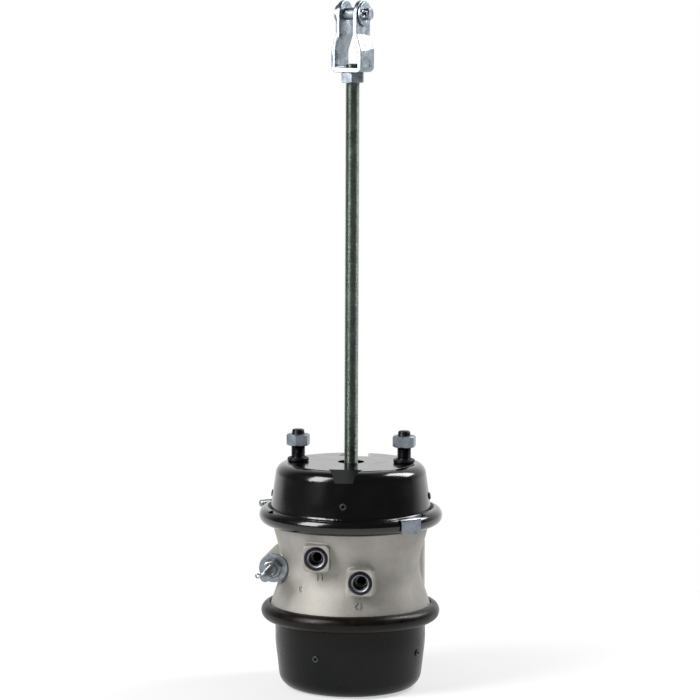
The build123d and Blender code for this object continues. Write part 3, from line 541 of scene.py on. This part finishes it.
def make_release_tool():
    """The release tool's bolt: a cross at its inner end and a coarse thread at its outer end."""
    radius = 6.0 * MM
    reach = 58.0 * MM
    depth = 66.0 * MM
    end = 1.2 * MM
    cross_radius = 4.0 * MM
    cross_half = 10.0 * MM
    stem = turned_mesh(
        "tool_stem",
        [
            (radius - end, -depth),
            (radius, -depth + end),
            (radius, -8 * MM),
            (radius, -4 * MM, "thread"),
            (radius, reach - end, "thread"),
            (radius - end, reach),
        ],
        40, 1.75 * MM, 1.05 * MM,
    )
    cross = turned_mesh(
        "tool_cross",
        [
            (cross_radius - end, -cross_half),
            (cross_radius, -cross_half + end),
            (cross_radius, cross_half - end),
            (cross_radius - end, cross_half),
        ],
    )
    cross.transform(Matrix.Translation((0, 0, cross_radius - depth)) @ Matrix.Rotation(math.pi / 2, 4, "X"))
    mesh = joined("release_tool", stem, cross)
    mesh.transform(tool_place())
    piece = add_piece("release_tool_stem", mesh, "release_tool_bolt", pale_zinc, 50)
    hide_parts("release_tool_bolt")


def make_clamp_bolt():
    """The clamp bolt: its hexagon head and a thread that runs well past the nut."""
    turn = math.radians(-144.5)
    distance = 113.0 * MM
    radius = 4.0 * MM
    outward = Vector((math.sin(turn), -math.cos(turn), 0))
    along = Vector((math.cos(turn), math.sin(turn), 0))
    nut_low, nut_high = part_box("clamp_nut")
    height = (nut_low.z + nut_high.z) / 2
    origin = outward * distance + Vector((0, 0, height))
    face = 11.0 * MM
    head_height = 5.3 * MM
    thread_end = 56.0 * MM
    stem = turned_mesh(
        "clamp_stem",
        [
            (radius, -face),
            (radius, -2 * MM, "thread"),
            (radius, thread_end - 1 * MM, "thread"),
            (radius - 1 * MM, thread_end),
        ],
        32, 1.25 * MM, 0.76 * MM,
    )
    head = turned_mesh(
        "clamp_head",
        [
            (6.2 * MM, -face - head_height),
            (7.5 * MM, -face - head_height + 0.7 * MM),
            (7.5 * MM, -face - 0.5 * MM),
            (7.0 * MM, -face),
        ],
        6,
    )
    mesh = joined("clamp_bolt_mesh", stem, head)
    mesh.transform(placement(origin, along, outward))
    piece = add_piece("threaded_clamp_bolt", mesh, "clamp_bolt", pale_zinc, 40)
    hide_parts("clamp_bolt")


def make_port_inserts():
    """The two steel inserts, with a real thread in their bores and a wide lead-in."""
    outer = 13.0 * MM
    bore = 7.25 * MM
    thread_cut = 0.85 * MM
    seat = 6.2 * MM
    mouth = 9.4 * MM
    machined_depth = 2.2 * MM
    low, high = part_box("port_inserts")
    depth = high.y - low.y
    lead = depth - 1.9 * MM
    outline = [
        (outer, 0.3 * MM),
        (outer, depth - 0.8 * MM),
        (outer - 0.25 * MM, depth - 0.25 * MM),
        (outer - 0.8 * MM, depth),
        (mouth + 0.2 * MM, depth),
        (mouth, depth - 0.15 * MM),
        (bore + thread_cut, lead, "thread"),
        (bore + thread_cut, 1.2 * MM, "thread"),
        (seat, 0.9 * MM),
        (seat, 0),
        (outer - 0.3 * MM, 0),
    ]
    single = turned_mesh("insert", outline, 64, ROD_THREAD, thread_cut, closed=True)
    single.flip_normals()
    pair = []
    places = []
    for mount in frame["record"]["mounts"]:
        if mount["kind"] != "threaded_hole":
            continue
        x, _, z = mount["pos_m"]
        places.append((x, z))
        copy = single.copy()
        copy.transform(placement((x, high.y, z), (0, -1, 0)))
        pair.append(copy)
    mesh = joined("inserts", *pair)
    piece = add_piece("threaded_port_inserts", mesh, "port_inserts", insert_steel, 35)
    mesh.materials.append(machined_steel)
    for face in mesh.polygons:
        x, y, z = face.center
        reach = min(math.hypot(x - px, z - pz) for px, pz in places)
        if bore + thread_cut < reach < mouth + 0.6 * MM and y < low.y + machined_depth:
            face.material_index = 1
    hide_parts("port_inserts")


make_push_rod()
make_mounting_studs()
make_release_tool()
make_clamp_bolt()
make_port_inserts()

# ---------------------------------------------------------------- split pins


def split_pin_mesh(name, wire, reach, eye, leg):
    """A split pin along X: two half wires side by side, a round eye at -X and two legs bent apart at +X."""
    half = wire * 0.52
    radius = wire * 0.5
    neck = -reach
    points = [(reach + leg * 0.75, 0, leg), (reach + leg * 0.3, 0, half + leg * 0.35), (reach, 0, half)]
    points += [(reach - 2 * wire, 0, half), (0, 0, half), (neck + wire, 0, half)]
    for step in range(13):
        angle = math.radians(35 + (290 * step / 12))
        points.append((neck - eye + eye * math.cos(angle), 0, eye * math.sin(angle)))
    points += [(neck + wire, 0, -half), (0, 0, -half), (reach - 2 * wire, 0, -half), (reach, 0, -half)]
    points += [(reach + leg * 0.3, 0, -half - leg * 0.35), (reach + leg * 0.75, 0, -leg)]
    return wire_mesh(name, points, radius)


def make_cotter_pin():
    """The clevis pin's split pin, its eye to the front and its legs bent open behind."""
    pin = next(joint for joint in frame["joints"] if joint["name"] == "clevis_pin_turn")
    axis = Vector(pin["axis"])
    across = Vector((0, 0, 1)).cross(axis)
    hole = 18.6 * MM
    origin = Vector(pin["pos_m"]) + axis * hole
    mesh = split_pin_mesh("cotter", 2.24 * MM, 8.5 * MM, 3.6 * MM, 4.2 * MM)
    mesh.transform(placement(origin, Vector((0, 0, 1)), across))
    piece = add_piece("clevis_split_pin", mesh, "cotter_pin", pale_zinc, 60)
    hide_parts("cotter_pin")


def make_tool_pin():
    """The small split pin through the release tool's end, its eye to the left."""
    hole = 52.5 * MM
    mesh = split_pin_mesh("tool_pin", 1.68 * MM, 6.8 * MM, 2.2 * MM, 2.6 * MM)
    mesh.transform(tool_place() @ Matrix.Translation((0, 0, hole)) @ Matrix.Rotation(math.pi / 2, 4, "X"))
    piece = add_piece("tool_split_pin", mesh, "release_tool_pin", pale_zinc, 60)
    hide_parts("release_tool_pin")


make_cotter_pin()
make_tool_pin()

# ---------------------------------------------------------------- casting
CAST_VOXEL = 1.0 * MM
CAST_SMOOTHING = 7


def welded_copy(node, name):
    """A copy of a CAD piece's mesh with its seams closed."""
    work = bmesh.new()
    work.from_mesh(nodes[node].data)
    bmesh.ops.remove_doubles(work, verts=work.verts, dist=0.002 * MM)
    mesh = bpy.data.meshes.new(name)
    work.to_mesh(mesh)
    work.free()
    return mesh


def cast_skin(node, name, voxel, passes):
    """A CAD piece with its edges and inner corners rounded off, as a foundry pattern has them."""
    holder = bpy.data.objects.new(name, welded_copy(node, name))
    bpy.context.scene.collection.objects.link(holder)
    remesh = holder.modifiers.new("even_skin", "REMESH")
    remesh.mode = "VOXEL"
    remesh.voxel_size = voxel
    smooth = holder.modifiers.new("rounded_corners", "SMOOTH")
    smooth.factor = 0.5
    smooth.iterations = passes
    bpy.context.view_layer.update()
    mesh = bpy.data.meshes.new_from_object(holder.evaluated_get(bpy.context.evaluated_depsgraph_get()))
    bpy.data.objects.remove(holder)
    return mesh


def make_casting():
    """The centre casting, with cast corners and a slightly uneven skin."""
    mesh = cast_skin("flange_case", "centre_casting", CAST_VOXEL, CAST_SMOOTHING)
    wavelength = 9 * MM
    unevenness = 0.08 * MM
    normals = [vertex.normal.copy() for vertex in mesh.vertices]
    for vertex, normal in zip(mesh.vertices, normals):
        vertex.co += normal * noise.noise(vertex.co * (1 / wavelength)) * unevenness
    piece = add_piece("centre_casting", mesh, "flange_case", cast_aluminium, 180)
    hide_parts("flange_case")
    return piece


casting = make_casting()
casting_skin = BVHTree.FromPolygons(
    [vertex.co.copy() for vertex in casting.data.vertices],
    [tuple(face.vertices) for face in casting.data.polygons],
)


def on_casting(x, z):
    """The point and normal of the casting's front at this x and z."""
    point, normal, _, _ = casting_skin.ray_cast(Vector((x, -200 * MM, z)), Vector((0, 1, 0)))
    return point, normal


def raised_figures(name, body, size, x, z, depth=1.2 * MM):
    """Figures cast proud of the casting's front, upside down as the chamber stands, following its curve."""
    text = bpy.data.curves.new(name, "FONT")
    text.body = body
    text.size = size
    text.align_x = "CENTER"
    text.align_y = "CENTER"
    text.extrude = depth
    text.bevel_depth = 0.14 * MM
    text.bevel_resolution = 1
    text.offset = 0.05 * MM
    holder = bpy.data.objects.new(name, text)
    mesh = bpy.data.meshes.new_from_object(holder)
    bpy.data.objects.remove(holder)
    for vertex in mesh.vertices:
        point, normal = on_casting(x - vertex.co.x, z - vertex.co.y)
        vertex.co = point + normal * vertex.co.z
    return add_piece(name, mesh, "flange_case", cast_aluminium, 40)


raised_figures("service_port_figures", "11", 10 * MM, -27.6 * MM, -119.5 * MM)
raised_figures("spring_port_figures", "12", 10 * MM, 16.2 * MM, -149.0 * MM)
raised_figures("tool_figure", "3", 9.0 * MM, -50.5 * MM, -135.0 * MM)

# ---------------------------------------------------------------- rounded edges on the CAD pieces
for name, width in {
    "mounting_nuts": 0.35 * MM,
    "clevis_lock_nut": 0.35 * MM,
    "release_tool_nut": 0.35 * MM,
    "clamp_nut": 0.25 * MM,
    "clevis_yoke": 0.7 * MM,
    "clevis_pin": 0.5 * MM,
    "clevis_washer": 0.3 * MM,
    "release_tool_washer": 0.4 * MM,
    "stud_collars": 0.4 * MM,
    "id_tab": 0.25 * MM,
    "service_vent_plugs": 0.25 * MM,
    "spring_vent_plugs": 0.25 * MM,
    "clamp_band": 0.5 * MM,
}.items():
    soften(name, width)

# ---------------------------------------------------------------- studio
base_z = cad_box[0].z


def make_floor():
    """A white floor that keeps a soft shadow and fades out into the white background."""
    material = bpy.data.materials.new("studio_floor")
    material.use_nodes = True
    tree = material.node_tree
    tree.nodes.clear()
    output = add_node(tree, "OutputMaterial")
    rays = add_node(tree, "LightPath").outputs
    seen = add_node(
        tree, "Math", {0: rays["Is Camera Ray"], 1: rays["Is Glossy Ray"]}, operation="MAXIMUM"
    ).outputs[0]
    place = add_node(tree, "TexCoord").outputs["Object"]
    away = add_node(tree, "VectorMath", {0: place}, operation="LENGTH").outputs["Value"]
    fade = add_node(
        tree,
        "MapRange",
        {"Value": away, "From Min": 0.14, "From Max": 0.75, "To Min": 0.55, "To Max": 1.0},
    ).outputs["Result"]
    share = add_node(tree, "Math", {0: seen, 1: fade}, operation="MULTIPLY").outputs[0]
    paint = add_node(tree, "BsdfDiffuse", {"Color": srgb("#F4F4F4")}).outputs[0]
    glow = add_node(tree, "Emission", {"Color": (1, 1, 1, 1), "Strength": 1.0}).outputs[0]
    mixed = add_node(tree, "MixShader", {0: share, 1: paint, 2: glow}).outputs[0]
    tree.links.new(mixed, output.inputs["Surface"])
    half = 6.0
    corners = [(-half, -half, 0), (half, -half, 0), (half, half, 0), (-half, half, 0)]
    mesh = mesh_of("floor", corners, [(0, 1, 2, 3)])
    mesh.materials.append(material)
    floor = bpy.data.objects.new("floor", mesh)
    floor.location.z = base_z
    bpy.context.scene.collection.objects.link(floor)


def make_world():
    """White for the camera; for light and reflections, a pale room that is dark on the camera's side."""
    world = bpy.data.worlds.new("studio")
    bpy.context.scene.world = world
    world.use_nodes = True
    tree = world.node_tree
    tree.nodes.clear()
    output = add_node(tree, "OutputWorld")
    direction = add_node(tree, "TexCoord").outputs["Generated"]
    parts = add_node(tree, "SeparateXYZ", {0: direction}).outputs
    back = add_node(
        tree,
        "MapRange",
        {"Value": parts["Y"], "From Min": 0.3, "From Max": 0.95, "To Min": 0.08, "To Max": 1.0},
    ).outputs["Result"]
    room = add_node(tree, "Background", {"Color": (1, 1, 1, 1), "Strength": back}).outputs[0]
    white = add_node(tree, "Background", {"Color": (1, 1, 1, 1), "Strength": 1.0}).outputs[0]
    seen = add_node(tree, "LightPath").outputs["Is Camera Ray"]
    mixed = add_node(tree, "MixShader", {0: seen, 1: room, 2: white}).outputs[0]
    tree.links.new(mixed, output.inputs["Surface"])


def add_softbox(name, azimuth, elevation, distance, width, height, power, aim=(0, 0, -0.05)):
    """A rectangular lamp at an angle round the object. Azimuth 0 is the camera's -Y side, 90 is +X."""
    lamp = bpy.data.lights.new(name, "AREA")
    lamp.shape = "RECTANGLE"
    lamp.size = width
    lamp.size_y = height
    lamp.energy = power
    holder = bpy.data.objects.new(name, lamp)
    bpy.context.scene.collection.objects.link(holder)
    a, e = math.radians(azimuth), math.radians(elevation)
    outward = Vector((math.sin(a) * math.cos(e), -math.cos(a) * math.cos(e), math.sin(e)))
    holder.location = Vector(aim) + outward * distance
    holder.rotation_euler = outward.to_track_quat("Z", "Y").to_euler()
    return holder


CAMERA_AZIMUTH = math.radians(5.5)
CAMERA_DISTANCE = 3.5
CAMERA_HEIGHT = 0.5355
CAMERA_PITCH = math.radians(6.65)
CAMERA_ROLL = math.radians(0.25)
FOCAL_PIXELS = 3120
FRAME_PIXELS = 700
AXIS_OFFSET_PIXELS = 1.5


def make_camera():
    """The camera, nearly level and a little right of the ports."""
    camera = bpy.data.cameras.new("camera")
    camera.sensor_width = 36.0
    camera.lens = camera.sensor_width * FOCAL_PIXELS / FRAME_PIXELS
    camera.shift_x = -AXIS_OFFSET_PIXELS / FRAME_PIXELS
    camera.clip_start = 0.05
    camera.clip_end = 50.0
    holder = bpy.data.objects.new("camera", camera)
    bpy.context.scene.collection.objects.link(holder)
    back = Vector((math.sin(CAMERA_AZIMUTH), -math.cos(CAMERA_AZIMUTH), 0))
    holder.location = back * CAMERA_DISTANCE + Vector((0, 0, CAMERA_HEIGHT))
    heading = Matrix.Rotation(CAMERA_AZIMUTH, 4, "Z")
    pitch = Matrix.Rotation(math.pi / 2 - CAMERA_PITCH, 4, "X")
    roll = Matrix.Rotation(CAMERA_ROLL, 4, "Z")
    holder.rotation_euler = (heading @ pitch @ roll).to_euler()
    bpy.context.scene.camera = holder


make_floor()
make_world()
make_camera()
add_softbox("key_softbox", -50, 34, 1.8, 0.75, 1.3, 40)
add_softbox("right_softbox", 116, 42, 1.7, 0.6, 1.1, 26)
bpy.context.scene.view_settings.view_transform = "Standard"
